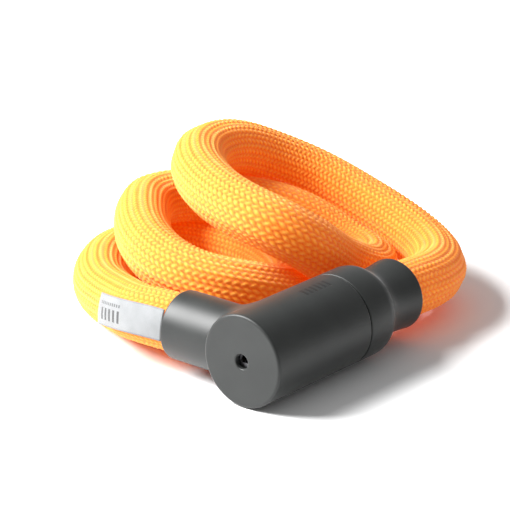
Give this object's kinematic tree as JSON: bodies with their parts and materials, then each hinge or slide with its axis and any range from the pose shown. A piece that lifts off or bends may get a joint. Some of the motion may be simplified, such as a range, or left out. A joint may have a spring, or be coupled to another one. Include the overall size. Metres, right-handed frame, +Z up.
{
  "type": "rope lock",
  "caption": "Lock head with a keyed cylinder, a side sleeve, a thick braided rope in loose turns and a slide-in plug held by balls.",
  "frame": {"origin": "on the surface the lock lies on, under the middle of the head and plug without the rope", "axes": "+X along the lock axis from the keyhole face to the plug's boot, +Y the side the sleeve points to, +Z up"},
  "size_m": [0.1934, 0.1873, 0.0817],
  "materials": {
    "soft_touch": "soft-touch",
    "rope_fabric": "braided sleeve",
    "label_fabric": "woven",
    "case_steel": "ground",
    "dark_steel": "hardened",
    "lock_brass": "machined",
    "seal_rubber": "moulded"
  },
  "bodies": {
    "lock_head": {"head_cover": "soft_touch", "lock_case": "case_steel", "cylinder_shell": "lock_brass", "socket_sleeve": "case_steel", "rear_ring": "case_steel", "seam_seal": "seal_rubber", "side_anchor": "case_steel", "side_ferrule": "case_steel", "side_anchor_pin": "dark_steel", "cylinder_set_screw": "dark_steel", "rear_ring_screw_1": "dark_steel", "rear_ring_screw_2": "dark_steel", "rear_ring_screw_3": "dark_steel", "rope_main": "rope_fabric", "rope_plug_end": "rope_fabric", "rope_label": "label_fabric"},
    "rotor": {"key_rotor": "case_steel", "thrust_washer": "case_steel", "drill_guard": "dark_steel", "locking_cam": "dark_steel", "code_disc_1": "lock_brass", "code_disc_2": "lock_brass", "code_disc_3": "lock_brass", "code_disc_4": "lock_brass", "code_disc_5": "lock_brass", "code_disc_6": "lock_brass", "code_disc_7": "lock_brass", "disc_spacer_1": "case_steel", "disc_spacer_2": "case_steel", "disc_spacer_3": "case_steel", "disc_spacer_4": "case_steel", "disc_spacer_5": "case_steel", "disc_spacer_6": "case_steel"},
    "sidebar_bar": {"sidebar": "case_steel"},
    "ball_1": {"locking_ball_1": "case_steel"},
    "ball_2": {"locking_ball_2": "case_steel"},
    "ball_3": {"locking_ball_3": "case_steel"},
    "plug": {"plug_cover": "soft_touch", "plug_core": "dark_steel", "plug_bolt": "case_steel", "plug_bolt_pin": "dark_steel", "index_pin": "dark_steel", "bolt_o_ring": "seal_rubber", "plug_ferrule": "case_steel"}
  },
  "joints": [
    {"name": "key_turn", "type": "hinge", "parent": "lock_head", "child": "rotor", "pos_m": [-0.056, -0.014, 0.022], "axis": [1, 0, 0], "range_deg": [0, 90]},
    {"name": "sidebar_slide", "type": "slide", "parent": "rotor", "child": "sidebar_bar", "axis": [0, 0, 1], "range_m": [0, 0.0014]},
    {"name": "plug_slide", "type": "slide", "parent": "lock_head", "child": "plug", "axis": [1, 0, 0], "range_m": [0, 0.024], "deforming": ["rope_plug_end"]},
    {"name": "ball_1_slide", "type": "slide", "parent": "lock_head", "child": "ball_1", "axis": [0, 0, -1], "range_m": [0, 0.0017]},
    {"name": "ball_2_slide", "type": "slide", "parent": "lock_head", "child": "ball_2", "axis": [0, 0.866, 0.5], "range_m": [0, 0.0017]},
    {"name": "ball_3_slide", "type": "slide", "parent": "lock_head", "child": "ball_3", "axis": [0, -0.866, 0.5], "range_m": [0, 0.0017]}
  ],
  "couplings": [
    {"joint": "ball_1_slide", "follows": "key_turn", "m_per_rad": 0.0010186},
    {"joint": "ball_2_slide", "follows": "key_turn", "m_per_rad": 0.0010186},
    {"joint": "ball_3_slide", "follows": "key_turn", "m_per_rad": 0.0010186}
  ]
}
